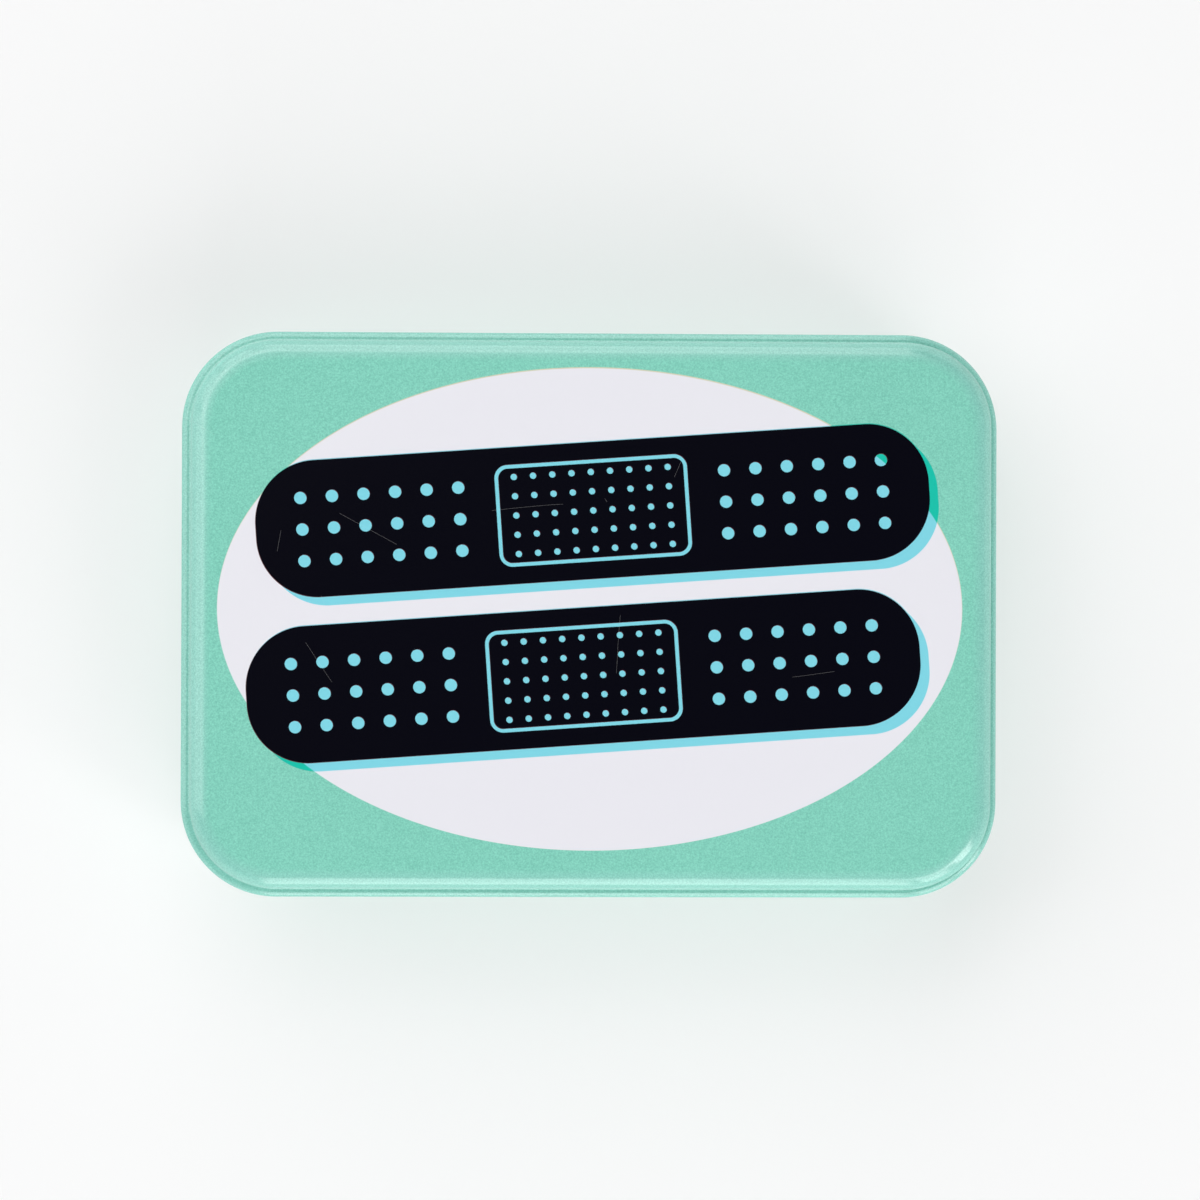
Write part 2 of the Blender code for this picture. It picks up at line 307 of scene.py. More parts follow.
# marks of use on the print: dust under the varnish, and hairline scratches in it
wear = {
    "dustSpacing": 0.011,
    "dustSize": 0.00011,
    "dustShare": 0.35,
    "dust": (0.02, 0.07, 0.06, 1),
    "dustDepth": 0.8,
    "scratchSpacing": 0.013,
    "scratchShare": 0.5,
    "scratchLength": 0.009,
    "scratchWidth": 0.00003,
    "scratchBends": 55.0,
    "scratchBend": 0.0012,
    "scratch": (0.8, 0.8, 0.8, 1),
    "scratchDepth": 0.14,
    "scratchRough": 0.2,
}


def specksGroup():
    # a few dust specks caught under the varnish
    group, given, out = newGroup(
        "specks",
        [
            ("Position", vector, None),
            ("Spacing", value, wear["dustSpacing"]),
            ("Size", value, wear["dustSize"]),
            ("Share", value, wear["dustShare"]),
        ],
        [("Mask", value)],
    )
    scale = calc(group, "DIVIDE", 1.0, given["Spacing"])
    cells = cellsAt(group, given["Position"], scale)
    pick = addNode(group, "ShaderNodeSeparateColor", None, {"Color": cells["Color"]}).outputs
    size = calc(group, "MULTIPLY", calc(group, "MULTIPLY", given["Size"], scale), pick["Green"])
    inside = calc(group, "LESS_THAN", cells["Distance"], size)
    chosen = calc(group, "LESS_THAN", pick["Red"], given["Share"])
    group.links.new(calc(group, "MULTIPLY", inside, chosen), out["Mask"])
    return group


def scratchesGroup():
    # hairline scratches: at most one in each cell of a Voronoi pattern, each at its own angle
    group, given, out = newGroup(
        "scratches",
        [
            ("Position", vector, None),
            ("Spacing", value, wear["scratchSpacing"]),
            ("Share", value, wear["scratchShare"]),
            ("Length", value, wear["scratchLength"]),
            ("Width", value, wear["scratchWidth"]),
        ],
        [("Mask", value)],
    )
    wobble = noiseAt(group, given["Position"], wear["scratchBends"], 1.0)["Color"]
    bent = calcVector(group, "MULTIPLY_ADD", wobble, [wear["scratchBend"]] * 3, given["Position"])
    cells = cellsAt(group, bent, calc(group, "DIVIDE", 1.0, given["Spacing"]))
    pick = addNode(group, "ShaderNodeSeparateColor", None, {"Color": cells["Color"]}).outputs
    local = calcVector(group, "SUBTRACT", bent, cells["Position"])
    turned = turnedAt(group, local, calc(group, "MULTIPLY", pick["Red"], 2 * math.pi))
    along = partsOf(group, calcVector(group, "ABSOLUTE", turned))
    line = calc(group, "LESS_THAN", along["Y"], calc(group, "MULTIPLY", given["Width"], 0.5))
    reach = calc(group, "MULTIPLY", calc(group, "MULTIPLY", given["Length"], 0.5), pick["Green"])
    line = calc(group, "MULTIPLY", line, calc(group, "LESS_THAN", along["X"], reach))
    line = calc(group, "MULTIPLY", line, calc(group, "LESS_THAN", pick["Blue"], given["Share"]))
    group.links.new(line, out["Mask"])
    return group


mintCoat = mintGroup()
specks = specksGroup()
scratches = scratchesGroup()
print("shared finishes made")


# The picture on the lid: two sticking plasters on a white oval.
oval = {
    "centre": (-0.0002, 0.00064, 0),
    "halfLength": 0.0425,
    "halfWidth": 0.0275,
    "white": (0.824, 0.819, 0.873, 1),
    "soft": 0.0012,  # of its own size
    "fringe": (0.80, 0.66, 0.46, 1),  # a tan plate under the white one, slipped up a little
    "fringeShare": 0.8,
    "fringeSlip": (0.00002, 0.00012, 0),
}
plasterPicture = {
    "halfLength": 0.0385,
    "halfWidth": 0.0078,
    "corner": 0.0070,
    "tilt": 4.0,
    "centres": ((0.0003, 0.0113, 0), (-0.0007, -0.0076, 0)),
    "shadow": (0.00103, -0.00097, 0),
    "padHalfLength": 0.0108,
    "padHalfWidth": 0.0056,
    "padCorner": 0.0013,
    "padLine": 0.00045,
    "padHolePitch": 0.0022,
    "padHole": 0.00038,
    "padHoleColumns": 4,
    "padHoleRows": 2,
    "holePitch": 0.0036,
    "hole": 0.00072,
    "firstHole": 0.0152,
    "lastHole": 0.0345,
    "holeRows": 0.0045,
    "soft": 0.00003,
    "ink": (0.0008, 0.0008, 0.0042, 1),
    "cyan": (0.222, 0.680, 0.790, 1),
    "turquoise": (0.012, 0.540, 0.410, 1),
    "coolSlip": (0.00003, 0.00009, 0),  # the colour plates print a hair off the black one
    "coolShare": 0.85,
    "warmSlip": (-0.00004, -0.00005, 0),
    "warm": (0.12, 0.02, 0.03, 1),
}


def barGroup():
    # distance from a flat bar with rounded corners, whatever the height, and negative inside
    group, given, out = newGroup(
        "roundedBar",
        [
            ("Position", vector, None),
            ("Half Length", value, None),
            ("Half Width", value, None),
            ("Corner", value, None),
        ],
        [("Distance", value)],
    )
    core = addNode(
        group,
        "ShaderNodeCombineXYZ",
        None,
        {
            "X": calc(group, "SUBTRACT", given["Half Length"], given["Corner"]),
            "Y": calc(group, "SUBTRACT", given["Half Width"], given["Corner"]),
            "Z": 1.0,
        },
    ).outputs["Vector"]
    folded = calcVector(group, "SUBTRACT", calcVector(group, "ABSOLUTE", given["Position"]), core)
    reach = calcVector(group, "LENGTH", calcVector(group, "MAXIMUM", folded, (0, 0, 0)))
    group.links.new(calc(group, "SUBTRACT", reach, given["Corner"]), out["Distance"])
    return group


roundedBar = barGroup()


def barDistance(tree, place, halfLength, halfWidth, corner):
    sizes = {"Half Length": halfLength, "Half Width": halfWidth, "Corner": corner}
    return useGroup(tree, roundedBar, {"Position": place, **sizes})["Distance"]


def holes(tree, place, pitch, radius, soft):
    # a square grid of round holes, one at the origin
    half = (pitch / 2, pitch / 2, 1.0)
    cell = calcVector(tree, "WRAP", place, half, (-pitch / 2, -pitch / 2, -1.0))
    flat = calcVector(tree, "MULTIPLY", cell, (1, 1, 0))
    return below(tree, calcVector(tree, "LENGTH", flat), radius, soft)


def plasterGroup(name, p):
    # one plaster of the sizes p, at the origin along X: Ink is Body less the pad's outline and all the holes
    group, given, out = newGroup(name, [("Position", vector, None)], [("Ink", value), ("Body", value)])
    place = given["Position"]
    sides = partsOf(group, calcVector(group, "ABSOLUTE", place))
    body = barDistance(group, place, p["halfLength"], p["halfWidth"], p["corner"])
    pad = barDistance(group, place, p["padHalfLength"], p["padHalfWidth"], p["padCorner"])
    line = below(group, calc(group, "ABSOLUTE", pad), p["padLine"] / 2, p["soft"])
    padHoles = holes(group, place, p["padHolePitch"], p["padHole"], p["soft"])
    for side, count in (("X", p["padHoleColumns"]), ("Y", p["padHoleRows"])):
        kept = below(group, sides[side], (count + 0.5) * p["padHolePitch"], p["soft"])
        padHoles = calc(group, "MULTIPLY", padHoles, kept)
    shifted = addNode(
        group,
        "ShaderNodeCombineXYZ",
        None,
        {"X": calc(group, "SUBTRACT", sides["X"], p["firstHole"]), "Y": sides["Y"], "Z": 0.0},
    ).outputs["Vector"]
    span = calc(
        group,
        "MULTIPLY",
        above(group, sides["X"], p["firstHole"] - p["holePitch"] / 2, p["soft"]),
        below(group, sides["X"], p["lastHole"], p["soft"]),
    )
    span = calc(group, "MULTIPLY", span, below(group, sides["Y"], p["holeRows"], p["soft"]))
    vents = calc(group, "MULTIPLY", holes(group, shifted, p["holePitch"], p["hole"], p["soft"]), span)
    cut = calc(group, "MAXIMUM", calc(group, "MAXIMUM", line, padHoles), vents)
    body = below(group, body, 0.0, p["soft"])
    group.links.new(calc(group, "MULTIPLY", body, calc(group, "SUBTRACT", 1.0, cut)), out["Ink"])
    group.links.new(body, out["Body"])
    return group


plasterInk = plasterGroup("plasterInk", plasterPicture)


def pictureInk(tree, place, shift, part="Ink"):
    # both plasters, moved by shift
    p = plasterPicture
    found = None
    for middle in p["centres"]:
        centre = Vector(middle) + Vector(oval["centre"]) + Vector(shift)
        local = calcVector(tree, "SUBTRACT", turnedAt(tree, place, -math.radians(p["tilt"]), centre), centre)
        ink = useGroup(tree, plasterInk, {"Position": local})[part]
        found = ink if found is None else calc(tree, "MAXIMUM", found, ink)
    return found


def ovalInk(tree, place):
    scaled = calcVector(tree, "DIVIDE", place, (oval["halfLength"], oval["halfWidth"], 1))
    return below(tree, calcVector(tree, "LENGTH", scaled), 1.0, oval["soft"])


def pictureGroup():
    # the plates in the order of printing: fringe, oval, shadows, slipped edges and the dark ink over all
    inputs = [("Position", vector, None), ("Ground", colour, None)]
    group, given, out = newGroup("lidPicture", inputs, [("Color", colour)])
    flat = calcVector(group, "MULTIPLY", given["Position"], (1, 1, 0))
    local = calcVector(group, "SUBTRACT", flat, oval["centre"])
    white = ovalInk(group, local)
    fringe = ovalInk(group, calcVector(group, "SUBTRACT", local, oval["fringeSlip"]))
    shade = pictureInk(group, flat, plasterPicture["shadow"], "Body")
    ink = pictureInk(group, flat, (0, 0, 0))
    fringe = calc(group, "MULTIPLY", fringe, oval["fringeShare"])
    ground = blendColour(group, fringe, given["Ground"], oval["fringe"])
    ground = blendColour(group, white, ground, oval["white"])
    shadeColour = blendColour(group, white, plasterPicture["turquoise"], plasterPicture["cyan"])
    ground = blendColour(group, shade, ground, shadeColour)
    cool = pictureInk(group, flat, plasterPicture["coolSlip"])
    cool = calc(group, "MULTIPLY", cool, plasterPicture["coolShare"])
    ground = blendColour(group, cool, ground, shadeColour)
    warm = pictureInk(group, flat, plasterPicture["warmSlip"])
    ground = blendColour(group, warm, ground, plasterPicture["warm"])
    ground = blendColour(group, ink, ground, plasterPicture["ink"])
    group.links.new(ground, out["Color"])
    return group


lidPicture = pictureGroup()

# the varnish: half the weight of a dense one, which stays clearer at low angles than all of a thin one
coat = {
    "roughness": 0.42,
    "specular": 0.02,
    "coatRoughness": 0.17,
    "coatWeight": 0.44,
    "coatIndex": 2.3,
    "wornScale": 45.0,
    "wornSpan": 0.10,
    "peelScale": 900.0,
    "peelStrength": 0.05,
    "peelDepth": 0.00004,
}


def mintMaterial(name, picture):
    material, tree, shader, place = newMaterial(
        name,
        {
            "Roughness": coat["roughness"],
            "Specular IOR Level": coat["specular"],
            "Coat Weight": coat["coatWeight"],
            "Coat Roughness": coat["coatRoughness"],
            "Coat IOR": coat["coatIndex"],
        },
    )
    shown = useGroup(tree, mintCoat, {"Position": place})["Color"]
    if picture:
        # painted highlight: near the outline, over the shoulder and bead, the mint is tinted paler and less
        # green
        inset = barDistance(tree, place, tin["length"] / 2, tin["width"] / 2, tin["corner"])
        flat = below(tree, inset, -mint["paintedHighlightInset"], mint["paintedHighlightSoft"])
        shown = blendColour(tree, flat, calcVector(tree, "MULTIPLY", shown, mint["paintedHighlightTint"]), shown)
        shown = useGroup(tree, lidPicture, {"Position": place, "Ground": shown})["Color"]
    dust = useGroup(tree, specks, {"Position": place})["Mask"]
    shown = blendColour(tree, calc(tree, "MULTIPLY", dust, wear["dustDepth"]), shown, wear["dust"])
    marks = useGroup(tree, scratches, {"Position": place})["Mask"]
    shown = blendColour(tree, calc(tree, "MULTIPLY", marks, wear["scratchDepth"]), shown, wear["scratch"])
    tree.links.new(shown, shader.inputs["Base Color"])
    worn = noiseAt(tree, place, coat["wornScale"], 3.0)["Fac"]
    rough = calc(tree, "MULTIPLY_ADD", worn, coat["wornSpan"], coat["roughness"] - coat["wornSpan"] / 2)
    rough = calc(tree, "MULTIPLY_ADD", marks, wear["scratchRough"], rough)
    tree.links.new(rough, shader.inputs["Roughness"])
    peel = noiseAt(tree, place, coat["peelScale"])["Fac"]
    addBump(tree, shader, peel, coat["peelStrength"], coat["peelDepth"])
    return material


# bare tinplate inside the tin, rolled along X
plate = {
    "mean": (0.50, 0.50, 0.485, 1),
    "meanRoughness": 0.56,
    "streakScale": (60.0, 3200.0, 3200.0),
    "dark": (0.43, 0.43, 0.418, 1),
    "light": (0.57, 0.565, 0.55, 1),
    "cloudScale": 110.0,
    "cloud": (0.46, 0.45, 0.43, 1),
    "cloudShare": 0.2,
    "roughness": 0.42,
    "streakRough": 0.16,
    "cloudRough": 0.08,
    "bumpStrength": 0.12,
    "bumpDepth": 0.00003,
}


def tinplateMaterial():
    material, tree, shader, place = newMaterial(
        "tinplate", {"Base Color": plate["mean"], "Metallic": 1.0, "Roughness": plate["meanRoughness"]}
    )
    streaks = noiseAt(tree, calcVector(tree, "MULTIPLY", place, plate["streakScale"]), 1.0, 3.0)["Fac"]
    cloud = noiseAt(tree, place, plate["cloudScale"], 3.0)["Fac"]
    shown = blendColour(tree, streaks, plate["dark"], plate["light"])
    shown = blendColour(tree, calc(tree, "MULTIPLY", cloud, plate["cloudShare"]), shown, plate["cloud"])
    tree.links.new(shown, shader.inputs["Base Color"])
    rough = calc(tree, "MULTIPLY_ADD", streaks, plate["streakRough"], plate["roughness"])
    rough = calc(tree, "MULTIPLY_ADD", cloud, plate["cloudRough"], rough)
    tree.links.new(rough, shader.inputs["Roughness"])
    addBump(tree, shader, streaks, plate["bumpStrength"], plate["bumpDepth"])
    return material


lidCoat = mintMaterial("lidPrint", True)
baseCoat = mintMaterial("baseEnamel", False)
tinplate = tinplateMaterial()
print("print and tinplate made")


# sizes over the sheet: shoulder and bead are outer radius and thickness, and profiles follow its middle
lid = {
    "shoulder": 0.0018,
    "easeAngle": 12,  # the panel starts to fall this gently before the shoulder
    "ease": 0.0012,
    "easeSteps": 6,
    "bead": 0.0015,
    "beadFillet": 0.0006,
    "beadEnd": 378,  # the roll comes out, over and back in under itself, with the print outside
    "depth": 0.008,
    "shoulderSteps": 14,
    "beadSteps": 28,
    "filletSteps": 12,
    "cornerSteps": 28,
    "support": 0.0003,
}


def lidProfile():
    # from the panel out over the shoulder and down the skirt to the bead: distance from the outside, height
    inset = tin["skirtInset"]
    half = tin["sheet"] / 2
    bend = lid["shoulder"] - half
    top = tin["height"] - half
    slope = math.radians(lid["easeAngle"])
    middle = tin["height"] - lid["depth"] + lid["bead"] / 2
    roll = lid["bead"] / 2 - half
    lean = math.degrees(math.acos((roll - lid["beadFillet"]) / (roll + lid["beadFillet"])))
    rise = (roll + lid["beadFillet"]) * math.sin(math.radians(lean))
    inner = inset + bend * (1 - math.sin(slope)) + lid["ease"]
    reach = lid["ease"] / math.sin(slope)
    gentle = arc((inner, top - reach), reach, 90, 90 + lid["easeAngle"], lid["easeSteps"])
    shoulderMiddle = gentle[-1][1] - bend * math.cos(slope)
    shoulder = arc((inset + bend, shoulderMiddle), bend, 90 + lid["easeAngle"], 180, lid["shoulderSteps"])
    filletMiddle = (inset - lid["beadFillet"], middle + rise)
    fillet = arc(filletMiddle, lid["beadFillet"], 0, lean - 180, lid["filletSteps"])
    bead = arc((inset - roll, middle), roll, lean, lid["beadEnd"], lid["beadSteps"])
    return [
        (inner + lid["support"], top),
        *gentle,
        *shoulder[1:],
        (inset, shoulderMiddle - lid["support"]),
        (inset, filletMiddle[1] + lid["support"]),
        *fillet,
        *bead[1:],
    ]


def buildLid():
    bm = drawnShell(lidProfile(), lid["cornerSteps"])
    faceOut(bm, (0, 0, 1))
    piece = finishPiece("lidShell", bm, [lidCoat, tinplate], "tin_lid", ["lid"])
    thicken(piece, tin["sheet"])


# both hinges, measured from the axis of their pins
hinge = {
    "coil": 0.00075,  # to the middle of the sheet round the pin
    "formed": 0.00027,  # sheet of the tabs, thinned by forming
    "skirtLine": 0.00175,  # the tab hangs this far behind
    "beadRise": 0.0025748,  # up to the bead's roll, where the tab starts
    "root": 0.0005,  # length of the tab inside the bead's roll
    "tabBend": 0.001,
    "tabHalf": 0.005,
    "tabWrap": 222,  # degrees round the pin
    "bendSteps": 10,
    "tabSteps": 30,
    "slotHalf": 0.0053,
    "slotDepth": 0.00255,
    "strap": 0.0018,
    "strapBendSteps": 8,
    "strapSteps": 20,
    "windowHalf": 0.0074,
    "pin": 0.0009,
    "pinHalf": 0.0079,
    "pinSides": 32,
    "pinRound": 0.00012,
    "near": 0.0001,  # reach when faces are looked for by place
    "seam": 0.000004,  # straps and wall are joined where they are closer than this
}


def buildTabs():
    # each tab hangs from the skirt, bends in under its pin and coils round it
    bm = bmesh.new()
    y, z = tin["axisY"], tin["axisZ"]
    behind, bend = hinge["skirtLine"], hinge["tabBend"]
    top = hinge["beadRise"] + hinge["root"]
    rise = bend - hinge["coil"]
    for middle in (-tin["hingeX"], tin["hingeX"]):
        ends = [bm.verts.new((middle + side * hinge["tabHalf"], y + behind, z + top)) for side in (-1, 1)]
        edge = pull(bm, [bm.edges.new(ends)], (0, 0, rise - top))
        edge = turn(bm, edge, (0, y + behind - bend, z + rise), (1, 0, 0), -90, hinge["bendSteps"])
        edge = pull(bm, edge, (0, bend - behind, 0))
        turn(bm, edge, (0, y, z), (1, 0, 0), -hinge["tabWrap"], hinge["tabSteps"])
    bmesh.ops.remove_doubles(bm, verts=bm.verts, dist=tin["weld"])
    faceOut(bm, (0, 1, 0))
    piece = finishPiece("hingeTabs", bm, [lidCoat, tinplate], "tin_lid")
    thicken(piece, hinge["formed"])


buildLid()
buildTabs()
print("lid and hinge tabs made")


# the base, with sizes over the sheet too
base = {
    "foot": 0.002,
    "ring": 0.0016,  # width of the flat ring that the tin stands on
    "raise": 0.0006,  # the floor inside it lies this much higher
    "stepWidth": 0.0009,
    "rim": 0.0012,
    "rimTop": 0.0204,
    "leg": 0.0005,  # the rolled rim ends in this much straight sheet
    "stepSteps": 10,
    "footSteps": 9,
    "rimSteps": 14,
    "cornerSteps": 28,
    "support": 0.0003,
}


def baseProfile():
    # from the floor out over its step and ring, up the wall and in over the rim
    inset = tin["wallInset"]
    half = tin["sheet"] / 2
    bend = base["foot"] - half
    ring = inset + bend + base["ring"]
    floor = [(ring + base["stepWidth"] + base["support"], half + base["raise"])]
    for k in range(base["stepSteps"], -1, -1):
        across = k / base["stepSteps"]
        height = base["raise"] * (1 - math.cos(math.pi * across)) / 2
        floor.append((ring + across * base["stepWidth"], half + height))
    foot = arc((inset + bend, half + bend), bend, 270, 180, base["footSteps"])
    roll = base["rim"] / 2 - half
    rimMiddle = (inset + roll, base["rimTop"] - half - roll)
    rim = arc(rimMiddle, roll, 180, 0, base["rimSteps"])
    return [
        *floor,
        *foot,
        (inset, half + bend + base["support"]),
        (inset, rimMiddle[1] - base["support"]),
        *rim,
        (rim[-1][0], rim[-1][1] - base["leg"]),
    ]


def cutWindow(bm, middle):
    # opens the rear wall for one hinge and leaves the two straps' places whole above and below
    wall = tin["width"] / 2 - tin["wallInset"]
    low, high = tin["axisZ"] - 2 * hinge["coil"], tin["axisZ"] + 2 * hinge["coil"]
    bottom = tin["axisZ"] - hinge["slotDepth"]
    strapHalf = hinge["slotHalf"] + hinge["strap"]

    def rearFaces():
        level = [f for f in bm.faces if abs(f.normal.y) > 0.99]
        return [f for f in level if f.calc_center_median().y > wall - hinge["near"]]

    def cutAcross(faces, place, way):
        corners = [v for f in faces for v in f.verts]
        sides = [e for f in faces for e in f.edges]
        parts = list(dict.fromkeys(corners + sides + faces))
        bmesh.ops.bisect_plane(bm, geom=parts, dist=tin["weld"], plane_co=place, plane_no=way)

    for reach in (hinge["slotHalf"], strapHalf, hinge["windowHalf"]):
        for side in (-1, 1):
            cutAcross(rearFaces(), (middle + side * reach, 0, 0), (1, 0, 0))
    for height in (bottom, low, high):
        reach = hinge["windowHalf"] + hinge["near"]
        faces = [f for f in rearFaces() if abs(f.calc_center_median().x - middle) < reach]
        cutAcross(faces, (0, 0, height), (0, 0, 1))

    def inWindow(face):
        spot = face.calc_center_median()
        across = abs(spot.x - middle)
        return (across < hinge["windowHalf"] and low < spot.z < high) or (
            across < hinge["slotHalf"] and bottom < spot.z < high
        )

    bmesh.ops.delete(bm, geom=[f for f in rearFaces() if inWindow(f)], context="FACES")


def addStraps(bm, middle):
    # the strips left between slot and window are pressed in round the pin
    y, z = tin["axisY"], tin["axisZ"]
    reach = 2 * hinge["coil"]
    for edge in [e for e in bm.edges if e.is_boundary]:
        spots = [v.co for v in edge.verts]
        across = abs((spots[0].x + spots[1].x) / 2 - middle)
        level = all(abs(s.z - z - reach) < hinge["near"] / 10 and s.y > y for s in spots)
        if level and hinge["slotHalf"] < across < hinge["slotHalf"] + hinge["strap"]:
            chain = turn(bm, [edge], (0, y, z + reach), (1, 0, 0), -90, hinge["strapBendSteps"])
            chain = turn(bm, chain, (0, y, z), (1, 0, 0), 180, hinge["strapSteps"])
            turn(bm, chain, (0, y, z - reach), (1, 0, 0), -90, hinge["strapBendSteps"])


def buildBase():
    bm = drawnShell(baseProfile(), base["cornerSteps"])
    bmesh.ops.recalc_face_normals(bm, faces=bm.faces)
    for middle in (-tin["hingeX"], tin["hingeX"]):
        cutWindow(bm, middle)
        addStraps(bm, middle)
        settle(bm)
    bmesh.ops.remove_doubles(bm, verts=bm.verts, dist=hinge["seam"])
    settle(bm)
    faceOut(bm, (0, 0, -1))
    piece = finishPiece("baseShell", bm, [baseCoat, tinplate], "tin_base", ["base"])
    thicken(piece, tin["sheet"])


buildBase()
print("base made")


# drawn steel wire, with its lines along X
wire = {
    "mean": (0.6, 0.6, 0.61, 1),
    "meanRoughness": 0.3,
    "dark": (0.48, 0.48, 0.49, 1),
    "light": (0.70, 0.70, 0.71, 1),
    "lineScale": (120.0, 9000.0, 9000.0),
    "roughness": 0.2,
    "lineRough": 0.2,
}


def steelMaterial():
    material, tree, shader, place = newMaterial(
        "pinSteel", {"Base Color": wire["mean"], "Metallic": 1.0, "Roughness": wire["meanRoughness"]}
    )
    lines = noiseAt(tree, calcVector(tree, "MULTIPLY", place, wire["lineScale"]), 1.0)["Fac"]
    tree.links.new(blendColour(tree, lines, wire["dark"], wire["light"]), shader.inputs["Base Color"])
    rough = calc(tree, "MULTIPLY_ADD", lines, wire["lineRough"], wire["roughness"])
    tree.links.new(rough, shader.inputs["Roughness"])
    return material


pinSteel = steelMaterial()


def buildPin(side, middle):
    bm = bmesh.new()
    place = Matrix.Translation((middle, tin["axisY"], tin["axisZ"]))
    place = place @ Matrix.Rotation(math.radians(90), 4, "Y")
    bmesh.ops.create_cone(
        bm,
        cap_ends=True,
        segments=hinge["pinSides"],
        radius1=hinge["pin"] / 2,
        radius2=hinge["pin"] / 2,
        depth=2 * hinge["pinHalf"],
        matrix=place,
    )
    ends = [e for e in bm.edges if abs(e.verts[0].co.x - e.verts[1].co.x) < tin["weld"]]
    bmesh.ops.bevel(
        bm,
        geom=ends,
        offset=hinge["pinRound"],
        offset_type="OFFSET",
        affect="EDGES",
        segments=3,
        profile=0.5,
        material=-1,
    )
    node = f"hinge_pin_{side.lower()}"
    finishPiece(f"hingePin{side}", bm, [pinSteel], "tin_base", [node])


buildPin("Left", -tin["hingeX"])
buildPin("Right", tin["hingeX"])
print("pins made")


# a packet is two sheets of paper, flat at the seam and lifted over the plaster and over its pad
packet = {
    "seam": 0.00013,  # half the thickness there
    "seamWidth": 0.0034,
    "slope": 0.0018,
    "strip": 0.00033,
    "pad": 0.00014,
    "padHalfLength": 0.0125,
    "padHalfWidth": 0.0085,
    "padSlope": 0.0022,
    "knurlEdge": 0.0008,
    "knurlPitch": 0.0007,
    "knurlAngle": 45,
    "stepsLong": 72,
    "stepsWide": 30,
    "crease": 0.00004,
    "creases": 170,
    "wave": 0.00016,
    "waves": 45,
    "noiseSeed": 7,
    "noiseSpot": (900, 70, 3.7),  # each packet takes its creases from another spot in the noise
    "slip": 0.02,  # how far the print may be slipped from packet to packet
}
paper = {
    "roughness": 0.55,
    "light": (0.80, 0.815, 0.81, 1),
    "dark": (0.77, 0.785, 0.785, 1),
    "cloudScale": 160.0,
    "fibre": (0.62, 0.62, 0.60, 1),
    "fibreScale": 2600.0,
    "fibreRough": 0.7,
    "fibreShare": 0.10,
    "fibreHeight": 0.2,
    "printed": (0.235, 0.60, 0.50, 1),
    "printShare": 0.85,
    "bumpStrength": 0.6,
    "bumpDepth": 0.00006,
}


def ease(amount):
    # a smooth step from 0 to 1
    amount = min(max(amount, 0), 1)
    return amount * amount * (3 - 2 * amount)


# the small plaster sign that repeats on the wrappers
wrapperSign = {
    "halfLength": 0.0046,
    "halfWidth": 0.0015,
    "corner": 0.0014,
    "padHalfLength": 0.0014,
    "padHalfWidth": 0.0010,
    "padCorner": 0.0003,
    "padLine": 0.00022,
    "padHolePitch": 0.0007,
    "padHole": 0.00014,
    "padHoleColumns": 1,
    "padHoleRows": 0,
    "holePitch": 0.0009,
    "hole": 0.00017,
    "firstHole": 0.0022,
    "lastHole": 0.0042,
    "holeRows": 0.0012,
    "soft": 0.00002,
    "tilt": 30,
    "cell": (0.0130, 0.0070),
}
wrapperInk = plasterGroup("wrapperInk", wrapperSign)


def paperMaterial():
    # coated paper with fibres, a knurled seal round the edge and a small printed plaster pattern
    material, tree, shader, place = newMaterial("wrapperPaper", {"Roughness": paper["roughness"]})
    fibre = noiseAt(tree, place, paper["fibreScale"], 4.0, paper["fibreRough"])["Fac"]
    cloud = noiseAt(tree, place, paper["cloudScale"])["Fac"]
    shown = blendColour(tree, cloud, paper["dark"], paper["light"])
    shown = blendColour(tree, calc(tree, "MULTIPLY", fibre, paper["fibreShare"]), shown, paper["fibre"])
    sheet = layerOf(tree, "sheet")["Vector"]
    turned = turnedAt(tree, sheet, math.radians(wrapperSign["tilt"]))
    half = Vector((wrapperSign["cell"][0] / 2, wrapperSign["cell"][1] / 2, 1.0))
    sign = useGroup(tree, wrapperInk, {"Position": calcVector(tree, "WRAP", turned, half, -half)})["Ink"]
    shown = blendColour(tree, calc(tree, "MULTIPLY", sign, paper["printShare"]), shown, paper["printed"])
    tree.links.new(shown, shader.inputs["Base Color"])
    knurl = turnedAt(tree, sheet, math.radians(packet["knurlAngle"]))
    turns = 2 * math.pi / packet["knurlPitch"]
    ridges = partsOf(tree, calcVector(tree, "SINE", calcVector(tree, "MULTIPLY", knurl, (turns, turns, 0.0))))
    pressed = calc(tree, "MAXIMUM", ridges["X"], ridges["Y"])
    pressed = calc(tree, "MULTIPLY", pressed, layerOf(tree, "seal")["Fac"])
    height = calc(tree, "MULTIPLY_ADD", fibre, paper["fibreHeight"], pressed)
    addBump(tree, shader, height, paper["bumpStrength"], paper["bumpDepth"])
    return material


wrapperPaper = paperMaterial()


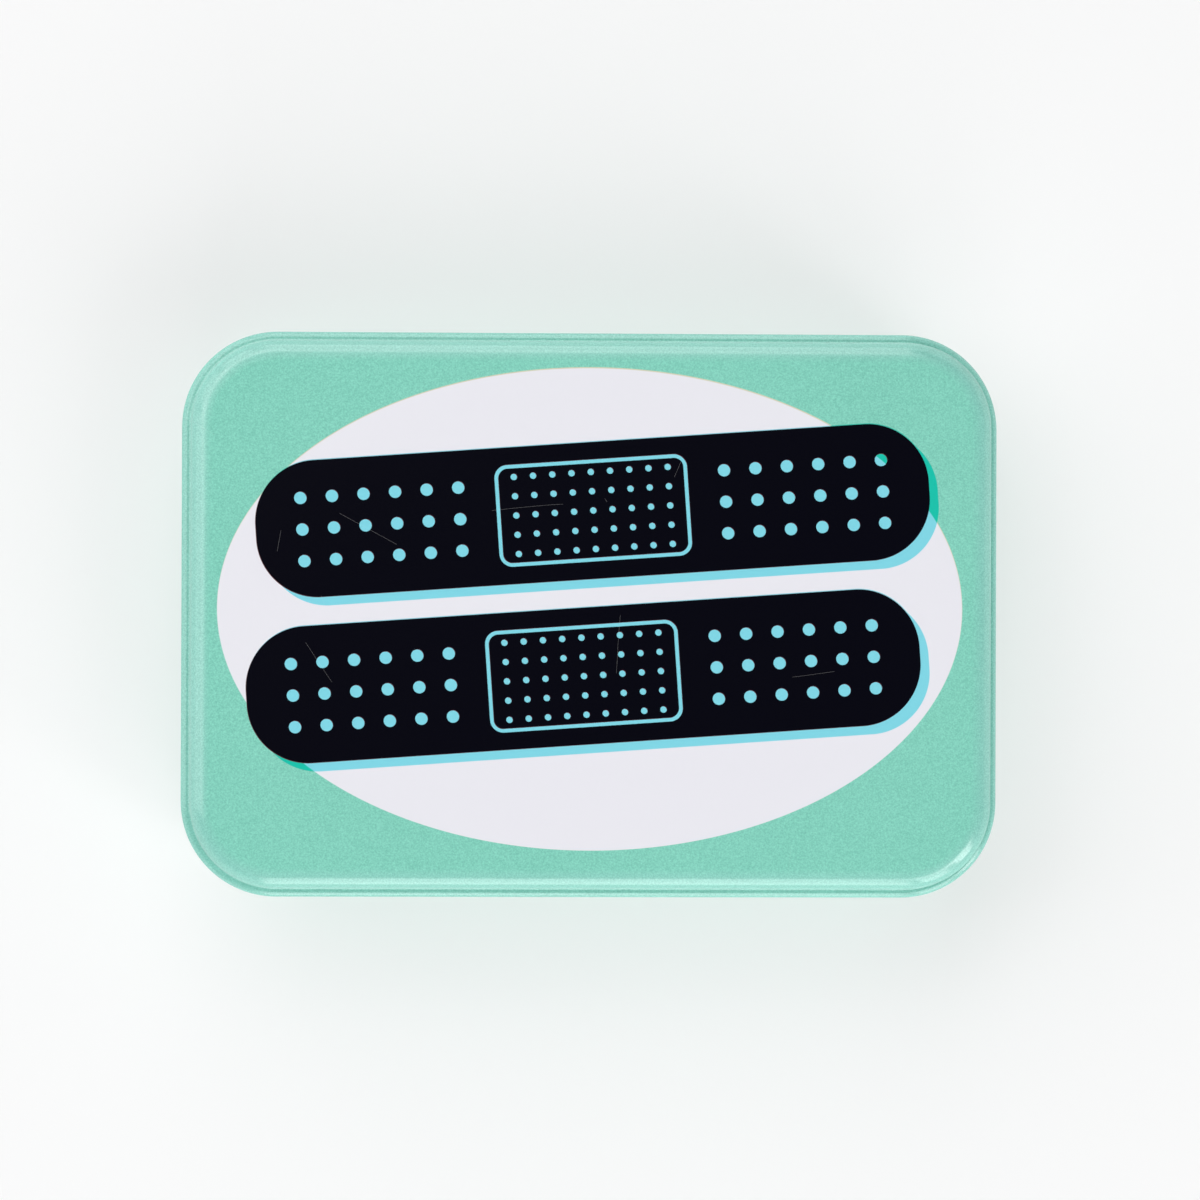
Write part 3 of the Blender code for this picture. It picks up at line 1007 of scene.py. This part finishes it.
def buildPacket(node):
    low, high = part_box(node)
    middle = (low + high) / 2
    half = (high - low) / 2
    seam, slope = packet["seamWidth"], packet["slope"]
    byHeight, bySide, first = packet["noiseSpot"]
    spot = Vector((middle.z * byHeight, middle.y * bySide, first))

    def inward(x, y):
        return half.x - abs(x), half.y - abs(y)

    def bumpAt(vert, scale, level):
        return noise.noise(Vector((vert.co.x * scale, vert.co.y * scale, level)) + spot)

    bm = bmesh.new()
    bmesh.ops.create_grid(bm, x_segments=packet["stepsLong"], y_segments=packet["stepsWide"], size=1)
    bmesh.ops.scale(bm, verts=bm.verts, vec=(half.x, half.y, 1))
    lift = {}
    for vert in bm.verts:
        edgeX, edgeY = inward(vert.co.x, vert.co.y)
        body = ease((edgeX - seam) / slope) * ease((edgeY - seam) / slope)
        padX = ease((packet["padHalfLength"] - abs(vert.co.x)) / packet["padSlope"] + 0.5)
        padY = ease((packet["padHalfWidth"] - abs(vert.co.y)) / packet["padSlope"] + 0.5)
        crease = packet["crease"] * bumpAt(vert, packet["creases"], 0)
        lift[vert] = packet["seam"] + body * (packet["strip"] + packet["pad"] * (padX * padY) + crease)
    lower = bmesh.ops.duplicate(bm, geom=bm.verts[:] + bm.edges[:] + bm.faces[:])
    pairs = lower["vert_map"]
    upper = list(lift)
    for vert in upper:
        loose = 1 - ease(min(inward(vert.co.x, vert.co.y)) / seam)
        wave = packet["wave"] * loose * bumpAt(vert, packet["waves"], 5)
        vert.co.z = lift[vert] + wave
        pairs[vert].co.z = wave - lift[vert]
    bmesh.ops.bridge_loops(bm, edges=[e for e in bm.edges if e.is_boundary])
    bmesh.ops.translate(bm, verts=bm.verts, vec=middle)
    bmesh.ops.recalc_face_normals(bm, faces=bm.faces)
    seal = bm.verts.layers.float.new("seal")
    sheet = bm.verts.layers.float_vector.new("sheet")
    start = packet["slip"] * noise.noise_vector(spot * 3)
    for vert in bm.verts:
        edge = min(inward(vert.co.x - middle.x, vert.co.y - middle.y))
        vert[seal] = 1 - ease((edge - seam + packet["knurlEdge"]) / packet["knurlEdge"])
        vert[sheet] = vert.co - middle + start
    words = node.split("_")
    name = "packet" + words[1].capitalize() + words[2]
    finishPiece(name, bm, [wrapperPaper], "tin_base", [node], 60)


noise.seed_set(packet["noiseSeed"])  # without it noise_vector takes its seed from the clock
packetNodes = [node for node in sorted(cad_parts) if node.startswith("plaster_")]
for node in packetNodes:
    buildPacket(node)
print("packets made:", len(packetNodes))


# a white paper floor and a plain sky
stageSetup = {
    "floorColour": (0.88, 0.88, 0.882, 1),
    "floorCloud": (0.865, 0.865, 0.867, 1),
    "floorClouds": 6.0,
    "floorRoughness": 0.85,
    "floorSpecular": 0.2,
    "floorGlow": 0.44,
    "floorSize": 3.0,
    "skyline": (0.22, 1.0),  # height on the sky's globe, then strength
    "midSky": (0.45, 0.18),
    "topSky": (1.0, 0.004),
}


def buildFloor():
    bm = bmesh.new()
    bmesh.ops.create_grid(bm, x_segments=1, y_segments=1, size=stageSetup["floorSize"])
    mesh = bpy.data.meshes.new("floor")
    bm.to_mesh(mesh)
    bm.free()
    material, tree, shader, place = newMaterial(
        "floorPaper",
        {
            "Base Color": stageSetup["floorColour"],
            "Roughness": stageSetup["floorRoughness"],
            "Specular IOR Level": stageSetup["floorSpecular"],
        },
    )
    cloud = noiseAt(tree, place, stageSetup["floorClouds"])["Fac"]
    shown = blendColour(tree, cloud, stageSetup["floorCloud"], stageSetup["floorColour"])
    tree.links.new(shown, shader.inputs["Base Color"])
    # seen directly or in a gloss the floor is a backlit sheet: its shadow thins, and no light goes on the tin
    white = {"Color": (1, 1, 1, 1), "Strength": 1.0}
    glow = addNode(tree, "ShaderNodeEmission", None, white).outputs["Emission"]
    path = addNode(tree, "ShaderNodeLightPath").outputs
    seen = calc(tree, "MAXIMUM", path["Is Camera Ray"], path["Is Glossy Ray"])
    seen = calc(tree, "MAXIMUM", seen, path["Is Transmission Ray"])
    share = calc(tree, "MULTIPLY", seen, stageSetup["floorGlow"])
    mixed = addNode(tree, "ShaderNodeMixShader", None, {0: share, 1: shader.outputs["BSDF"], 2: glow})
    tree.links.new(mixed.outputs["Shader"], tree.nodes["Material Output"].inputs["Surface"])
    mesh.materials.append(material)
    floor = bpy.data.objects.new("floor", mesh)
    bpy.context.scene.collection.objects.link(floor)


def buildWorld():
    # pale round the skyline and dark overhead, so that a level gloss shows black as black
    world = bpy.data.worlds.new("studio")
    bpy.context.scene.world = world
    world.use_nodes = True
    tree = world.node_tree
    way = addNode(tree, "ShaderNodeTexCoord").outputs["Generated"]
    up = partsOf(tree, way)["Z"]
    stops = [stageSetup[name] for name in ("skyline", "midSky", "topSky")]
    strength = 0.0
    for low, high in zip(stops, stops[1:]):
        strength = calc(tree, "ADD", ramp(tree, up, low[0], high[0], low[1] - high[1], 0.0), strength)
    ground = tree.nodes["Background"]
    ground.inputs["Color"].default_value = (1, 1, 1, 1)
    tree.links.new(calc(tree, "ADD", strength, stops[-1][1]), ground.inputs["Strength"])


# softboxes all aimed at the tin: azimuth from +X and elevation in degrees, width and height, brightness
lamps = {
    "frontBox": {"way": (-90, 24), "size": (0.32, 0.85), "bright": 2.6},
    "frontCornerBox": {"way": (-62, 28), "size": (0.30, 0.85), "bright": 2.8},
    "cornerBox": {"way": (-38, 36), "size": (0.20, 0.7), "bright": 5.0},
    "rearBox": {"way": (92, 34), "size": (0.35, 0.9), "bright": 1.82},
    "rearCornerBox": {"way": (121, 36), "size": (0.35, 0.9), "bright": 1.77},
    "leftCornerBox": {"way": (150, 38), "size": (0.35, 0.9), "bright": 1.58},
    "leftBox": {"way": (178, 40), "size": (0.30, 0.9), "bright": 1.44},
    "highBox": {"way": (125, 63), "size": (1.1, 0.45), "bright": 0.6},
    "frontHighBox": {"way": (-80, 60), "size": (0.8, 0.45), "bright": 0.3},
}
lampDistance = 0.9


def buildLamp(name, setup):
    data = bpy.data.lights.new(name, "AREA")
    data.shape = "RECTANGLE"
    data.size, data.size_y = setup["size"]
    data.energy = setup["bright"] * math.pi * data.size * data.size_y
    lamp = bpy.data.objects.new(name, data)
    bpy.context.scene.collection.objects.link(lamp)
    azimuth, elevation = [math.radians(angle) for angle in setup["way"]]
    level = math.cos(elevation)
    way = Vector((math.cos(azimuth) * level, math.sin(azimuth) * level, math.sin(elevation)))
    lamp.location = lampDistance * way
    lamp.rotation_euler = (-lamp.location).to_track_quat("-Z", "Y").to_euler()


# the photographer's place: over the tin, leaning a little to the left and to the front
view = {
    "aim": Vector((0.00088, 0.00171, 0.021)),
    "distance": 0.640,
    "lens": 168.4,
    "sensor": 36,
    "clip": (0.01, 20),
    "tiltLeft": 2.3,
    "tiltFront": 0.35,
    "roll": 0.2,
}


def buildCamera():
    data = bpy.data.cameras.new("camera")
    data.lens = view["lens"]
    data.sensor_width = view["sensor"]
    data.clip_start, data.clip_end = view["clip"]
    camera = bpy.data.objects.new("camera", data)
    bpy.context.scene.collection.objects.link(camera)
    turned = Matrix.Rotation(math.radians(-view["tiltLeft"]), 4, "Y")
    turned = turned @ Matrix.Rotation(math.radians(view["tiltFront"]), 4, "X")
    turned = turned @ Matrix.Rotation(math.radians(view["roll"]), 4, "Z")
    camera.rotation_euler = turned.to_euler()
    camera.location = view["aim"] + turned.to_3x3() @ Vector((0, 0, view["distance"]))
    bpy.context.scene.camera = camera


buildFloor()
buildWorld()
for name, setup in lamps.items():
    buildLamp(name, setup)
buildCamera()
bpy.context.scene.view_settings.view_transform = "Standard"
print("floor, lamps and camera made")
